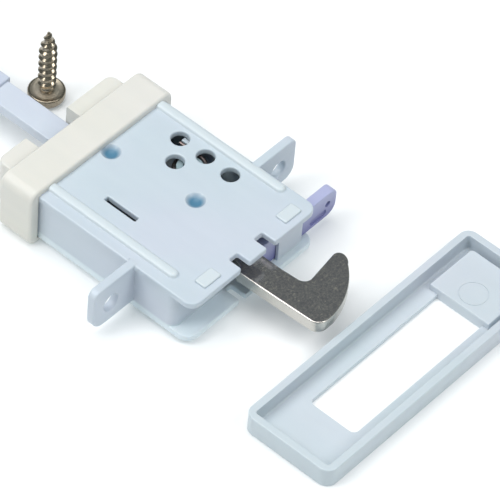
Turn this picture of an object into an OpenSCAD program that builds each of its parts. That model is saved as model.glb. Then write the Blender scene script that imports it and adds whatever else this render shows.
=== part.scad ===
// Flat hook latch for a light gate or door, with its trim frame and one fixing screw.
// Millimetres. +X runs out of the housing along the hook, +Y towards the push lever, +Z up through
// the cover. The origin is midway between the two ear holes, on the front faces of the ears.

/* [Housing] */
// Width over the cover plate
housing_w = 38.2; // [38:0.2:40]
// Height from the underside of the base to the top of the cover
housing_h = 12.6; // [12.6:0.2:14]
// Distance from the ears to the housing's rear end
housing_rear = 33.5; // [33.5:0.5:36]
// Distance from the ears to the front edge of the cover
cover_front = 15.9; // [15.6:0.1:16.2]
// Thickness of the base floor and of the cover plate
plate_t = 1.5; // [1.3:0.1:1.5]
// Thickness of the side walls
wall_t = 1.3; // [1.1:0.1:1.5]

/* [Ears] */
// Distance between the two ear screw holes
ear_spacing = 51; // [50:0.5:52]
// Diameter of an ear screw hole
ear_hole_d = 4.2; // [4:0.1:5]
// Thickness of an ear
ear_t = 2; // [1.5:0.1:2.2]
// Distance from the centre line to the tip of an ear
ear_reach = 30.7; // [30.5:0.1:32]

/* [Hook] */
// Thickness of the hook plate
hook_t = 3; // [2.6:0.1:3]
// Angle that the hook swings through when it is released
hook_swing = 22; // [16:1:22]
// Radius of the crank pin about the pivot
crank_r = 8; // [7.8:0.1:8]
// Diameter of the pivot pin
pivot_d = 3; // [2.6:0.1:3]

/* [Pull bar] */
// Width of the bar
bar_w = 6.3; // [6:0.1:6.4]
// Thickness of the bar
bar_t = 2.6; // [2:0.1:2.8]
// Distance from the ears to the end of the grip
grip_end = 74.5; // [72:0.5:80]
// Diameter of the eye in the grip
grip_eye_d = 4.2; // [3:0.1:4.4]

/* [Push lever] */
// Thickness of the lever
lever_t = 2.45; // [2.3:0.05:2.45]
// Distance from the centre line to the lever's outer end
lever_reach = 29.1; // [28:0.1:30]
// Diameter of the eye in the lever
lever_eye_d = 1.5; // [1:0.1:1.8]

/* [Trim frame] */
// Length of the frame
trim_l = 69.8; // [68:0.2:72]
// Width of the frame
trim_w = 22.7; // [22.5:0.1:24]
// Height of the frame
trim_h = 5; // [4.6:0.1:6]
// Thickness of the frame's rim
trim_rim = 1.7; // [1.4:0.1:1.9]

/* [Screw] */
// Diameter over the thread
screw_d = 4; // [3.5:0.1:4.2]
// Length under the head
screw_l = 17.2; // [15:0.1:20]
// Distance between two turns of the thread
screw_pitch = 1.9; // [1.6:0.1:2.2]

/* [Hidden] */
$fn = 48;

// Levels
top_z = 6;                        // cover's top, above the line through the ear holes
base_z = top_z - housing_h;
floor_z = base_z + plate_t;
ceiling_z = top_z - plate_t;
table_z = base_z - 1.3;
eps = 0.01;
run = 0.05;                       // running clearance of one moving face

// Housing outline
half_w = housing_w / 2;
wall_y = half_w - 0.3;            // outer face of the side walls
base_front = cover_front - 0.7;
shelf_y = 20.2;                   // side edge of the base's floor under the lever
left_front = 10.9;                // outer face of the front wall left of the hook
right_front = 13.7;               // outer face of the front wall right of the hook
right_front_t = 0.7;
mouth_left = -3.6;                // the hook's opening, from the left wall ...
mouth_right = 10.1;               // ... to the right wall

// Hook and crank
pivot = [5, 0.8];
hub_r = 4.6;
shank_right = 4.5;
bush_r = 2.3;
crank_pin_r = 1.25;
crank_rest = -90 + hook_swing / 2;
crank = pivot + crank_r * [cos(crank_rest), sin(crank_rest)];
crank_eye_r = 2.4;
link_z = 1.62;                    // underside of the link plate
link_t = 1;

// Pull bar
bar_y = 0.55;                     // the bar's centre line
bar_top = 1;
bar_bottom = bar_top - bar_t;
bar_front = -4;
bar_rear = -66.5;
bar_step = -56.6;                 // where the grip starts
grip_w = bar_w + 1;
grip_lip = 0.8;                   // how far the grip stands over the bar and under it
grip_pin_x = -61;
grip_pin_r = 0.8;
rivet_xs = [-11.5, -7];
rivet_r = 1;

// Return spring
coil_at = [-11.6, 10.6];
coil_r = 3.4;
coil_wire = 0.8;
coil_pitch = 0.9;
coil_turns = 4.25;
coil_leg_y = 4.4;                 // end of the leg that pushes the bar
coil_leg_x = -17.5;               // end of the leg that rests on the housing

// Push lever
lever_x = 12.9 - lever_t;         // rear face
lever_z = floor_z + 0.15;
lever_h = 6.9;
lever_nose = shank_right + run;
lug_y = 14;
lug_w = 1.6;
lug_x = 7.4;
lever_spring_y = 8.25;
lever_spring_x = 8.75;
lever_spring_z = -2.75;

// Trim frame
trim_x = 36.6;
trim_y = -26.3;
trim_floor = 1.2;
window_at = [42.3, -12.5];
window_size = [12, 40];

// Screw, standing on its head
screw_at = [-53.2, 12];
screw_head_h = 2.8;
screw_head_r = 4.1;

// Points on an arc, anticlockwise when a1 > a0
function arc(c, r, a0, a1, n = 8) = [for (i = [0:n]) c + r * [cos(a0 + (a1 - a0) * i / n), sin(a0 + (a1 - a0) * i / n)]];

// Quarter turn about a centre, or the bare corner when it has no radius
function corner(c, r, a0) = r > 0 ? arc(c, r, a0, a0 + 90) : [c];

// Rectangle with its own radius at each corner: low x low y, high x low y, high x high y, low x high y
function rounded_box(lo, hi, r) = concat(
    corner([lo.x + r[0], lo.y + r[0]], r[0], 180),
    corner([hi.x - r[1], lo.y + r[1]], r[1], 270),
    corner([hi.x - r[2], hi.y - r[2]], r[2], 0),
    corner([lo.x + r[3], hi.y - r[3]], r[3], 90)
);

function unit(v) = v / norm(v);

// Ring of a wire's section about a path point whose direction is never vertical
function wire_ring(p, dir, r, sides) =
    let (side = unit([-dir.y, dir.x, 0]), up = cross(unit(dir), side))
    [for (i = [0:sides - 1]) p + r * (cos(360 * i / sides) * side + sin(360 * i / sides) * up)];

// Round wire along a path of points
module wire(path, r, sides = 8) {
    last = len(path) - 1;
    points = [
        for (k = [0:last])
            each wire_ring(path[k], path[min(k + 1, last)] - path[max(k - 1, 0)], r, sides)
    ];
    tube = [
        for (k = [0:last - 1], i = [0:sides - 1])
            let (a = k * sides + i, b = k * sides + (i + 1) % sides)
            each [[a, b + sides, b], [a, a + sides, b + sides]]
    ];
    caps = [[for (i = [0:sides - 1]) i], [for (i = [sides - 1:-1:0]) last * sides + i]];
    polyhedron(points, concat(tube, caps), convexity = 10);
}

module block(lo, hi) {
    translate(lo) cube(hi - lo);
}

module plate(outline, z0, z1) {
    translate([0, 0, z0]) linear_extrude(z1 - z0) polygon(outline);
}

module post(at, r, z0, z1) {
    translate([at.x, at.y, z0]) cylinder(r = r, h = z1 - z0);
}

module ring(at, r_out, r_in, z0, z1) {
    difference() {
        post(at, r_out, z0, z1);
        post(at, r_in, z0 - 1, z1 + 1);
    }
}

// Straight arm with round ends between two places
module arm(from, to, w, z0, z1) {
    heading = atan2(to.y - from.y, to.x - from.x);
    plate(
        concat(arc(to, w / 2, heading - 90, heading + 90, 12), arc(from, w / 2, heading + 90, heading + 270, 12)),
        z0, z1
    );
}

// One ear, on the side that sign names, with its screw hole
module ear(sign) {
    corner_r = 3;
    tip_r = 1.8;
    root = wall_y - wall_t / 2;
    lo = [root, base_z + 1.6];
    hi = [ear_reach, top_z];
    outline = rounded_box(lo, hi, [0, corner_r, tip_r, 0]);
    mirror([0, sign < 0 ? 1 : 0, 0]) difference() {
        rotate([90, 0, 90]) translate([0, 0, -ear_t]) linear_extrude(ear_t) polygon(outline);
        translate([-ear_t - 1, ear_spacing / 2, 0]) rotate([0, 90, 0]) cylinder(d = ear_hole_d, h = ear_t + 2);
    }
}

// Slit with rounded inner corners, open to the front
module slit(y0, y1, back, z0, z1) {
    r = 0.5;
    plate(rounded_box([back, y0], [cover_front + 2, y1], [r, 0, 0, r]), z0, z1);
}

module base_floor() {
    flange_r = 3;
    rear_r = 1.5;
    shelf_r = 2.4;
    shelf_rear = 4;
    outline = concat(
        corner([-housing_rear + rear_r, -wall_y + rear_r], rear_r, 180),
        corner([base_front - flange_r, -wall_y + flange_r], flange_r, 270),
        corner([base_front - shelf_r, shelf_y - shelf_r], shelf_r, 0),
        corner([shelf_rear + 1, shelf_y - 1], 1, 90),
        [[shelf_rear, wall_y]],
        corner([-housing_rear + rear_r, wall_y - rear_r], rear_r, 90)
    );
    difference() {
        plate(outline, base_z, floor_z);
        slit(-3.2, -1.4, 11.2, base_z - 1, floor_z + 1);
        slit(3.6, 5.1, 11.2, base_z - 1, floor_z + 1);
    }
}

module base_walls() {
    inner = wall_y - wall_t;
    corner_r = 2;
    z0 = floor_z - eps;
    difference() {
        union() {
            plate(
                rounded_box([-housing_rear, -wall_y], [left_front, 0], [1.5, corner_r, 0, 0]),
                z0, ceiling_z
            );
            plate(
                rounded_box([-housing_rear, 0], [right_front, wall_y], [0, 0, corner_r, 1.5]),
                z0, ceiling_z
            );
        }
        // The hollow inside, left and right of the centre line
        block([-housing_rear + wall_t, -inner, z0 - 1], [left_front - wall_t, eps, ceiling_z + 1]);
        block([-housing_rear + wall_t, 0, z0 - 1], [right_front - right_front_t, inner, ceiling_z + 1]);
        // The hook's mouth, and the way out at the back for the bar
        block([0, mouth_left, z0 - 1], [cover_front, mouth_right, ceiling_z + 1]);
        block([-housing_rear - 1, bar_y - bar_w / 2 - 0.3, bar_bottom - 1], [-20, bar_y + bar_w / 2 + 0.3, ceiling_z + 1]);
        // The lever's window in the right wall
        block([lever_x - 0.15, inner - 1, lever_z - 0.1], [right_front - right_front_t, wall_y + 1, lever_z + lever_h + 0.3]);
    }
}

module base_posts() {
    z0 = floor_z - eps;
    guide_t = 1.15;
    inner = wall_y - wall_t + eps;
    spring_rib = [coil_leg_x, coil_at.y + coil_r + coil_wire / 2 + 0.1];
    difference() {
        post(pivot, 2.6, z0, -hook_t / 2 - 0.4);
        post(pivot, pivot_d / 2, floor_z - 0.8, 0);
    }
    post(coil_at, 1.3, z0, 3.4);
    block([spring_rib.x, spring_rib.y, z0], [spring_rib.x + 2.5, spring_rib.y + 1, ceiling_z - 0.3]);
    // Two ribs behind the lever: the first also backs its spring, the second stops its lug
    block([lug_x, lever_spring_y - 0.95, z0], [lever_x - 0.1, lever_spring_y - run, -0.9]);
    block([lever_x - 0.1 - guide_t, lug_y + lug_w + run, z0], [lever_x - 0.1, inner, -0.9]);
}

module base_shell() {
    color("aliceblue") difference() {
        union() {
            base_floor();
            base_walls();
            base_posts();
            ear(-1);
            ear(1);
        }
        post(pivot, pivot_d / 2, floor_z - 0.8, 0);
    }
}

// Rounded ridge along the cover, with a ball end
module cover_rib(y) {
    r = 1.5;
    rise = 0.8;
    x0 = -26.2;
    x1 = 7;
    intersection() {
        union() {
            translate([x0, y, top_z + rise - r]) rotate([0, 90, 0]) cylinder(r = r, h = x1 - x0);
            translate([x1, y, top_z + rise - r]) sphere(r = r);
        }
        block([x0, y - r, top_z - 0.2], [x1 + r, y + r, top_z + rise + 1]);
    }
}

// Shallow round dimple in the cover's top
module cover_dimple(at) {
    dimple_r = 2.2;
    depth = 1;
    ball_r = (dimple_r * dimple_r + depth * depth) / (2 * depth);
    translate([at.x, at.y, top_z - depth + ball_r]) sphere(r = ball_r, $fn = 96);
}

module cover_plate() {
    corner_r = 2.4;
    holes = [[-17, 13.4], [-9.9, 13.4], [-2.9, 13.2], [-13.4, 7.9]];
    hole_r = 2;
    pads = [[11.4, -13.7], [11.4, 10.9]];
    pad_size = [2.9, 5, 0.5];
    under = ceiling_z - 1.4;
    color("lightsteelblue") {
        difference() {
            union() {
                plate(
                    rounded_box([-housing_rear, -half_w], [cover_front, half_w], [1.5, corner_r, corner_r, 1.5]),
                    ceiling_z, top_z
                );
                cover_rib(-15.3);
                cover_rib(17.4);
                for (p = pads) translate([p.x, p.y, top_z - eps]) cube(pad_size);
                post(pivot, 2.7, under, ceiling_z + eps);
            }
            slit(-4.3, -1.8, 12.4, ceiling_z - 1, top_z + 1);
            slit(3.4, 5.9, 12.3, ceiling_z - 1, top_z + 1);
            for (h = holes) post(h, hole_r, ceiling_z - 1, top_z + 1);
            for (d = [[-24.6, 0.6], [-3.2, 2.9]]) cover_dimple(d);
            block([-16.6, -10.1, ceiling_z - 1], [-8.1, -8.9, top_z + 1]);
            post(pivot, pivot_d / 2 + eps, under - 1, ceiling_z - 0.1);
            // Notches for the ears, which rise flush with the cover
            for (s = [-1, 1]) translate([-ear_t - run, s > 0 ? wall_y - wall_t / 2 - run : -half_w - 1, ceiling_z - 1])
                cube([ear_t + 2 * run, half_w + 1 - wall_y + wall_t / 2 + run, plate_t + 2]);
        }
    }
}

// End cap that slides over the housing's rear: a band with two lugs beside the bar
module rear_collar() {
    band_front = -26.4;
    band_rear = -housing_rear - 1.7;
    band_y = 21.5;
    band_top = top_z + 1.6;
    band_r = 2.6;
    lug_rear = band_rear - 5;
    lug_top = top_z - 0.7;
    slot = [-8.6, 3.8];
    fit = 0.03;
    section = rounded_box([-band_y, table_z], [band_y, band_top], [band_r, band_r, band_r, band_r]);
    color("ivory") difference() {
        union() {
            rotate([90, 0, 90]) translate([0, 0, band_rear]) linear_extrude(band_front - band_rear) polygon(section);
            plate(
                rounded_box([lug_rear, -17.2], [band_rear + 1, 17.3], [2, 0, 0, 2]),
                base_z + 0.5, lug_top
            );
            // Concave rise from the lugs to the band
            translate([0, 17.3, 0]) rotate([90, 0, 0]) linear_extrude(34.5) polygon(concat(
                [[band_rear + 1, lug_top - 1], [band_rear + 1, band_top - 1.4]],
                arc([band_rear - 1.6, band_top - 1.4], 1.6, 0, -90 + eps, 6),
                [[band_rear - 1.6, lug_top - 1]]
            ));
        }
        block([-housing_rear - fit, -half_w - fit, base_z - fit], [band_front + 1, half_w + fit, top_z + fit]);
        block([lug_rear - 1, slot[0], base_z - 2], [band_rear, slot[1], band_top + 1]);
        block([band_rear - 1, slot[0], -3], [-housing_rear + 1, slot[1], 3]);
    }
}

module bar_guide() {
    lo = [-housing_rear + wall_t, bar_y - bar_w / 2 - 3.4, floor_z];
    hi = [-22, bar_y + bar_w / 2 + 3.4, 2.6];
    color("whitesmoke") difference() {
        block(lo, hi);
        block(
            [lo.x - 1, bar_y - bar_w / 2 - run, bar_bottom - run],
            [hi.x + 1, bar_y + bar_w / 2 + run, bar_top + run]
        );
    }
}

// Rubber pad that the crank's eye rests on when the hook is home
module stop_pad() {
    color("dimgray") block([crank.x + crank_eye_r + run, -9, -1.4], [left_front - wall_t, -5.4, 1.4]);
}

module pivot_pin() {
    chamfer = 0.3;
    low = floor_z - 0.8;
    high = ceiling_z - 0.1;
    color("silver") {
        post(pivot, pivot_d / 2, low, high - chamfer);
        translate([pivot.x, pivot.y, high - chamfer])
            cylinder(r1 = pivot_d / 2, r2 = pivot_d / 2 - chamfer, h = chamfer);
    }
}

module pivot_clip() {
    low = hook_t / 2 + 0.45;
    color("silver") difference() {
        ring(pivot, 2.7, pivot_d / 2, low, low + 0.5);
        block([pivot.x, pivot.y - 0.8, low - 1], [pivot.x + 4, pivot.y + 0.8, low + 2]);
    }
}

module pivot_washers() {
    washer_t = 0.35;
    gap = 0.03;
    color("gainsboro") for (side = [-1, 1])
        translate([0, 0, side > 0 ? hook_t / 2 + gap : -hook_t / 2 - gap - washer_t])
            ring(pivot, 3, pivot_d / 2 + eps, 0, washer_t);
}

module spring_bobbin() {
    flange_z = -1.2;
    color("white") difference() {
        union() {
            post(coil_at, 4.1, flange_z, flange_z + 0.6);
            post(coil_at, coil_r - coil_wire / 2 - 0.1, flange_z, 3.9);
        }
        post(coil_at, 1.3, flange_z - 1, 5);
    }
    color("white") ring(coil_at, 2.4, 1.3, floor_z, flange_z);
}

module return_spring() {
    steps = 24;
    helix = [
        for (i = [0:coil_turns * steps])
            let (a = 360 * i / steps)
            [coil_at.x + coil_r * cos(a), coil_at.y + coil_r * sin(a), coil_pitch * i / steps]
    ];
    end = helix[len(helix) - 1];
    path = concat(
        [[coil_at.x + coil_r, coil_leg_y, 0], [coil_at.x + coil_r, coil_at.y - 1, 0]],
        helix,
        [[end.x - 1, end.y, end.z], [coil_leg_x, end.y, end.z]]
    );
    color("darkgray") wire(path, coil_wire / 2);
}

// Outline of the hook from the pivot forwards: shank, nose and mouth
function hook_outline() = concat(
    [[pivot.x, shank_right], [pivot.x, -0.7], [12.5, -0.7], [13.3, -2.5], [24.5, -2.2]],
    arc([32.4, 0.62], 2.5, -82, 5, 8),
    arc([14.9, -0.25], 20.2, 8, 48.5, 14),
    arc([25.5, 13.6], 2.93, 28, 88, 6),
    arc([25.62, 15], 1.53, 98, 189, 8),
    arc([23.35, 6.7], 1.92, 8, -90, 8),
    [[19.5, shank_right]]
);

module hook_plate() {
    z0 = -hook_t / 2;
    z1 = hook_t / 2;
    color("dimgray") difference() {
        union() {
            plate(hook_outline(), z0, z1);
            post(pivot, hub_r, z0, z1);
            arm(pivot, crank, 2 * crank_eye_r, z0, z1);
        }
        post(pivot, bush_r, z0 - 1, z1 + 1);
        post(crank, crank_pin_r, z0 - 1, z1 + 1);
    }
}

module hook_bush() {
    color("goldenrod") ring(pivot, bush_r, pivot_d / 2 + run, -hook_t / 2, hook_t / 2);
}

module crank_pin() {
    color("silver") post(crank, crank_pin_r, -hook_t / 2, link_z + link_t + 0.7);
}

module crank_clip() {
    low = link_z + link_t + 0.1;
    color("silver") ring(crank, 2.2, crank_pin_r, low, low + 0.4);
}

module pull_bar() {
    lo = bar_y - bar_w / 2;
    hi = bar_y + bar_w / 2;
    tab_x = coil_at.x + coil_r + coil_wire / 2 + run;
    color("lavender") difference() {
        union() {
            block([bar_rear, lo, bar_bottom], [bar_front, hi, bar_top]);
            block([-13.5, lo, 0], [-5, hi, link_z]);
            block([tab_x, hi - 1, bar_bottom], [bar_front - 0.5, hi + 2.5, bar_top]);
        }
        for (x = rivet_xs) post([x, bar_y], rivet_r, -3, 3);
        post([grip_pin_x, bar_y], grip_pin_r, -3, 3);
    }
}

// Plate that carries the bar's pull to the crank pin, through a slot across the pull
module link_plate() {
    slot_x = crank_pin_r + run;
    slot_y = crank_pin_r + 0.3;
    z1 = link_z + link_t;
    color("slategray") difference() {
        union() {
            block([-13.5, bar_y - 2.75, link_z], [-5, bar_y + 2.75, z1]);
            arm([-7.6, bar_y - 0.4], crank, 4.6, link_z, z1);
        }
        for (x = rivet_xs) post([x, bar_y], rivet_r, link_z - 1, z1 + 1);
        block([crank.x - slot_x, crank.y - slot_y, link_z - 1], [crank.x + slot_x, crank.y + slot_y, z1 + 1]);
    }
}

module link_rivets() {
    head_r = 1.8;
    head_h = 0.6;
    color("silver") for (x = rivet_xs) {
        post([x, bar_y], rivet_r, bar_bottom, link_z + link_t);
        post([x, bar_y], head_r, bar_bottom - head_h, bar_bottom);
        post([x, bar_y], head_r, link_z + link_t, link_z + link_t + head_h);
    }
}

module bar_grip() {
    end_x = -grip_end + grip_w / 2;
    z0 = bar_bottom - grip_lip;
    z1 = bar_top + grip_lip;
    color("lavender") difference() {
        union() {
            block([end_x, bar_y - grip_w / 2, z0], [bar_step, bar_y + grip_w / 2, z1]);
            post([end_x, bar_y], grip_w / 2, z0, z1);
        }
        block([bar_rear, bar_y - bar_w / 2, bar_bottom], [bar_step + 1, bar_y + bar_w / 2, bar_top]);
        post([end_x, bar_y], grip_eye_d / 2, -5, 5);
        post([grip_pin_x, bar_y], grip_pin_r, -5, 5);
    }
}

module grip_pin() {
    color("silver") post([grip_pin_x, bar_y], grip_pin_r, bar_bottom - grip_lip, bar_top + grip_lip);
}

module release_lever() {
    bevel = 24;
    outline = rounded_box([lever_nose, lever_z], [lever_reach, lever_z + lever_h], [0, 2.8, 1.8, 0]);
    eye = [lever_reach - 2.7, lever_z + 3.77];
    color("mediumpurple") difference() {
        union() {
            rotate([90, 0, 90]) translate([0, 0, lever_x]) linear_extrude(lever_t) polygon(outline);
            block([lug_x, lug_y, lever_z], [lever_x + eps, lug_y + lug_w, -1.2]);
        }
        // Sloping nose, so that only its front edge meets the shank
        plate(
            [
                [lever_x + lever_t, lever_nose],
                [lever_x - 1, lever_nose + (lever_t + 1) * tan(bevel)],
                [lever_x - 1, lever_nose - 1], [lever_x + lever_t, lever_nose - 1]
            ],
            lever_z - 1, lever_z + lever_h + 1
        );
        translate([lever_x - 1, eye[0], eye[1]]) rotate([0, 90, 0]) cylinder(d = lever_eye_d, h = lever_t + 2);
        // Shallow recess along the front face
        block([lever_x + lever_t - 0.4, 21, lever_z + 1], [lever_x + lever_t + 1, 26, lever_z + 2.75]);
    }
}

module lever_spring() {
    wire_d = 0.35;
    mean_r = 1.1;
    turns = 6;
    steps = 16;
    length = lug_y - run - lever_spring_y;
    travel = length - wire_d;
    path = [
        for (i = [0:turns * steps])
            let (a = 360 * i / steps, t = i / (turns * steps))
            [mean_r * cos(a), mean_r * sin(a), wire_d / 2 + travel * (t - sin(360 * t) / 360 * 40)]
    ];
    color("darkgray") translate([lever_spring_x, lever_spring_y, lever_spring_z]) rotate([-90, 0, 0])
        wire(path, wire_d / 2, 6);
}

module trim_frame() {
    r = 2.5;
    inner_r = 0.6;
    lo = [trim_x, trim_y];
    hi = lo + [trim_w, trim_l];
    rim = [trim_rim, trim_rim];
    top = table_z + trim_h;
    pad_lo = [lo.x + 3.5, window_at.y + window_size.y];
    pad_hi = [hi.x - 3.5, hi.y - 2.5];
    pad_top = table_z + 2.8;
    gate_mark = [lo.x + 11.7, pad_lo.y + 4.2];
    gate_mark_r = 3.2;
    window_r = 1.4;
    color("azure") difference() {
        union() {
            difference() {
                plate(rounded_box(lo, hi, [r, r, r, r]), table_z, top);
                plate(
                    rounded_box(lo + rim, hi - rim, [inner_r, inner_r, inner_r, inner_r]),
                    table_z + trim_floor, top + 1
                );
            }
            plate(rounded_box(pad_lo, pad_hi, [0, 0, 1, 1]), table_z + trim_floor - eps, pad_top);
        }
        plate(
            rounded_box(window_at, window_at + window_size, [window_r, window_r, 0, 0]),
            table_z - 1, top + 1
        );
        // Fine round groove left by the mould
        ring(gate_mark, gate_mark_r, gate_mark_r - 0.2, pad_top - 0.1, top + 1);
    }
}

// Threaded shank as one closed surface: a sharp ridge that winds up a core which narrows to a tip
module thread(length, pitch, r_out, r_core) {
    sides = 24;
    rows = 6;
    taper = 5;
    z_end = length;
    count = ceil(z_end / pitch * rows);
    function ridge(phase) = max(0, 1 - abs(phase - 0.5) * 3.2);
    function radius(z, a) =
        let (phase = z / pitch - a / 360, part = phase - floor(phase), near_tip = min(1, (z_end - z) / taper))
        max(0.08, (r_core + (r_out - r_core) * ridge(part)) * (0.04 + 0.96 * sqrt(max(0, near_tip))));
    points = concat(
        [
            for (k = [0:count], i = [0:sides - 1])
                let (z = min(z_end, k * pitch / rows), a = 360 * i / sides)
                [radius(z, a) * cos(a), radius(z, a) * sin(a), z]
        ],
        [[0, 0, z_end]]
    );
    tube = [
        for (k = [0:count - 1], i = [0:sides - 1])
            let (a = k * sides + i, b = k * sides + (i + 1) % sides)
            each [[a, b + sides, b], [a, a + sides, b + sides]]
    ];
    bottom = [[for (i = [0:sides - 1]) i]];
    top = [for (i = [0:sides - 1]) [count * sides + (i + 1) % sides, count * sides + i, len(points) - 1]];
    polyhedron(points, concat(tube, bottom, top), convexity = 10);
}

module fixing_screw() {
    face_z = table_z + screw_head_h;
    dome_r = 1.6;
    slot_w = 1.1;
    slot_l = 4.2;
    slot_depth = 1.6;
    profile = concat(
        [[0, table_z]],
        arc([screw_head_r - dome_r, table_z + dome_r], dome_r, -90, 0, 8),
        [[screw_head_r, face_z], [0, face_z]]
    );
    color("darkkhaki") translate([screw_at.x, screw_at.y, 0]) {
        difference() {
            rotate_extrude($fn = 64) polygon(profile);
            for (turn = [0, 90]) rotate(turn) translate([-slot_l / 2, -slot_w / 2, table_z - 1])
                cube([slot_l, slot_w, 1 + slot_depth]);
        }
        translate([0, 0, face_z - eps]) thread(screw_l, screw_pitch, screw_d / 2, screw_d * 0.35);
    }
}

base_shell();
cover_plate();
rear_collar();
bar_guide();
stop_pad();
pivot_pin();
pivot_clip();
pivot_washers();
spring_bobbin();
return_spring();
hook_plate();
hook_bush();
crank_pin();
crank_clip();
pull_bar();
link_plate();
link_rivets();
bar_grip();
grip_pin();
release_lever();
lever_spring();
trim_frame();
fixing_screw();
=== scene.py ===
import math

import bmesh
import bpy
from mathutils import Matrix, Vector
from mathutils.geometry import tessellate_polygon


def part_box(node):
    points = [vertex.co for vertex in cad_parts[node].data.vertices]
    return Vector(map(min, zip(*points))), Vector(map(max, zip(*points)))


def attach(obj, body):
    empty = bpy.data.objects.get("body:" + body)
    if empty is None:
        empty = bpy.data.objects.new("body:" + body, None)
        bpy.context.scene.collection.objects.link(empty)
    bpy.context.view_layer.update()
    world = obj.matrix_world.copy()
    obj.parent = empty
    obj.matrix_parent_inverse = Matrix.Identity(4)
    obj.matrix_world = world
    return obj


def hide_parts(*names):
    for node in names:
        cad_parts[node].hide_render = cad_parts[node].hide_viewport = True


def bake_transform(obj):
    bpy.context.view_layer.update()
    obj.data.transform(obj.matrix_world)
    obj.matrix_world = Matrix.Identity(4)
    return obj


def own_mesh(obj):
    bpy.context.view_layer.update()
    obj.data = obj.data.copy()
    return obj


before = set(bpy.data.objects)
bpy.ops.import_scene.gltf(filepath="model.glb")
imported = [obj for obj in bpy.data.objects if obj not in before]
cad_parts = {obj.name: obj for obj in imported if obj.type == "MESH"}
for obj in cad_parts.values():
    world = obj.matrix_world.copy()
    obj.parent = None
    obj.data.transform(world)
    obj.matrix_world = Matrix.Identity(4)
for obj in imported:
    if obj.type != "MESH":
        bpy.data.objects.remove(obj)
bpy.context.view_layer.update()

# The visible latch kit. Lengths are in millimetres until MM turns them into metres.
MM = 0.001
SEED_STEP = 7.3                     # offset between two pieces' grain, in noise units


# ---------------------------------------------------------------- places, in millimetres

def corners_of(node):
    """Lowest and highest corner of a CAD node, in millimetres."""
    low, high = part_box(node)
    return low / MM, high / MM


SKIN = 0.01                                     # kept between faces that would otherwise fall together
OVER = 1                                        # how far a cutter reaches past what it cuts

REAR, BASE = corners_of("base_shell")[0].x, corners_of("base_shell")[0].z
TOP = corners_of("base_shell")[1].z             # the cover's top, flush with the ears
PLATE_T, WALL, EAR_T = 1.5, 1.3, 2.0            # floor and cover, walls, and ears: how thick they are
FLOOR, CEILING = BASE + PLATE_T, TOP - PLATE_T  # upper face of the floor, and lower face of the cover
WALL_Y, COVER_Y = 18.8, 19.1                    # half widths of the casing and of the cover
REAR_R = 1.5                                    # radius of their rear corners
DIMPLES, DIMPLE_R, DIMPLE_DEPTH = ((-24.6, 0.6), (-3.2, 2.9)), 2.2, 1.0

PIVOT, PIN_R, BUSH_R = (5.0, 0.8), 1.5, 2.3     # the hook's axis, its pin and its bush
CRANK_ARM, CRANK_TURN, CRANK_PIN_R = 8.0, math.radians(-79), 1.25
CRANK = (PIVOT[0] + CRANK_ARM * math.cos(CRANK_TURN), PIVOT[1] + CRANK_ARM * math.sin(CRANK_TURN))
COIL, COIL_R, PEG_R = (-11.6, 10.6), 3.4, 1.3   # the return coil's axis, its mean radius and its peg

BAR_Y, BAR_HALF = 0.55, 3.15                    # the bar's middle, and half its width
BAR_BOTTOM, BAR_TOP = corners_of("pull_bar")[0].z, 1.0
LINK_REAR, LINK_FRONT = -13.5, -5
RIVET_XS, RIVET_R = (-11.5, -7.0), 1
GRIP_PIN, GRIP_PIN_R = (-61.0, BAR_Y), 0.8
LEVER_LOW, LEVER_HIGH = (corner.z for corner in corners_of("release_lever"))


# ---------------------------------------------------------------- materials

def srgb(r, g, b):
    """Colour given as 0-255 display values, turned into the linear values that shaders take."""
    def linear(v):
        v /= 255
        return v / 12.92 if v <= 0.04045 else ((v + 0.055) / 1.055) ** 2.4
    return linear(r), linear(g), linear(b), 1.0


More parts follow.
